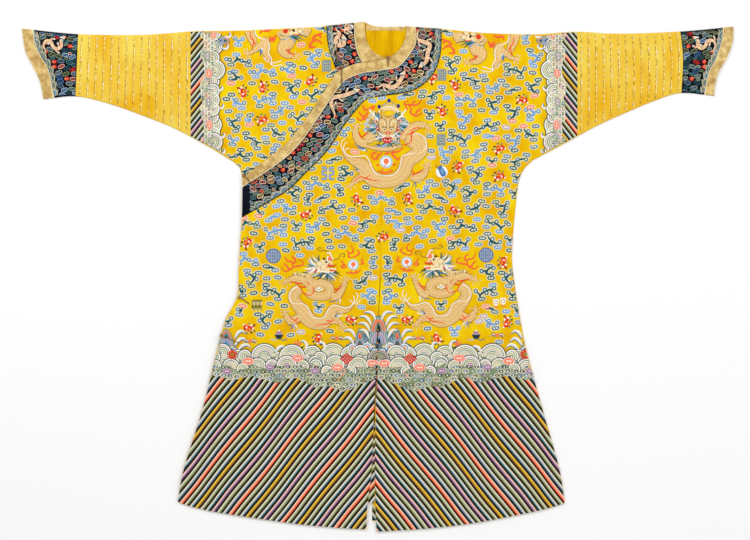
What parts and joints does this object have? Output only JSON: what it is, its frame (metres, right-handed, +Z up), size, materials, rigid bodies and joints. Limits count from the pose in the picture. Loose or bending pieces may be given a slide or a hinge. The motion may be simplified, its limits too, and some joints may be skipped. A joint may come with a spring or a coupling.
{
  "type": "chinese dragon robe",
  "caption": "Court dragon robe laid flat, with a crossover lapel, ribbed sleeves, horseshoe cuffs, ball-and-loop fastenings and a centre vent.",
  "frame": {"origin": "on the floor, under the middle of the laid-out robe", "axes": "+X to the wearer's left along both sleeves, +Y from the hem to the neck, +Z up out of the chest"},
  "size_m": [1.92, 1.3756, 0.0165],
  "materials": {
    "silk": "embroidered silk satin, soft sheen",
    "lining": "plain silk, satin",
    "ribbed_silk": "ribbed silk, soft sheen",
    "gold_brocade": "gold-wrapped brocade, low sheen",
    "navy_silk": "embroidered dark silk, soft sheen",
    "piping": "corded silk, matt",
    "knob": "gilt metal ball under worn gold thread",
    "loop": "corded gold-brown silk, matt"
  },
  "bodies": {
    "root": {"back_left": "silk", "back_lining": "lining", "back_right": "silk", "cuff_band_left": "gold_brocade", "cuff_band_right": "gold_brocade", "cuff_left": "navy_silk", "cuff_piping_left": "piping", "cuff_piping_right": "piping", "cuff_right": "navy_silk", "front_left": "silk", "front_right_inner": "silk", "front_right_outer": "silk", "knob_collar": "knob", "knob_hip": "knob", "knob_neck": "knob", "knob_underarm": "knob", "knob_waist": "knob", "lapel_band": "gold_brocade", "lapel_border": "navy_silk", "lapel_piping": "piping", "loop_collar_1": "loop", "loop_collar_2": "loop", "loop_hip_1": "loop", "loop_neck_1": "loop", "loop_underarm_1": "loop", "loop_waist_1": "loop", "neck_band_back": "gold_brocade", "neck_band_inner": "gold_brocade", "neck_border_inner": "navy_silk", "neck_piping_inner": "piping", "sleeve_ribbed_left": "ribbed_silk", "sleeve_ribbed_right": "ribbed_silk", "sleeve_upper_left": "silk", "sleeve_upper_right": "silk"}
  },
  "joints": []
}
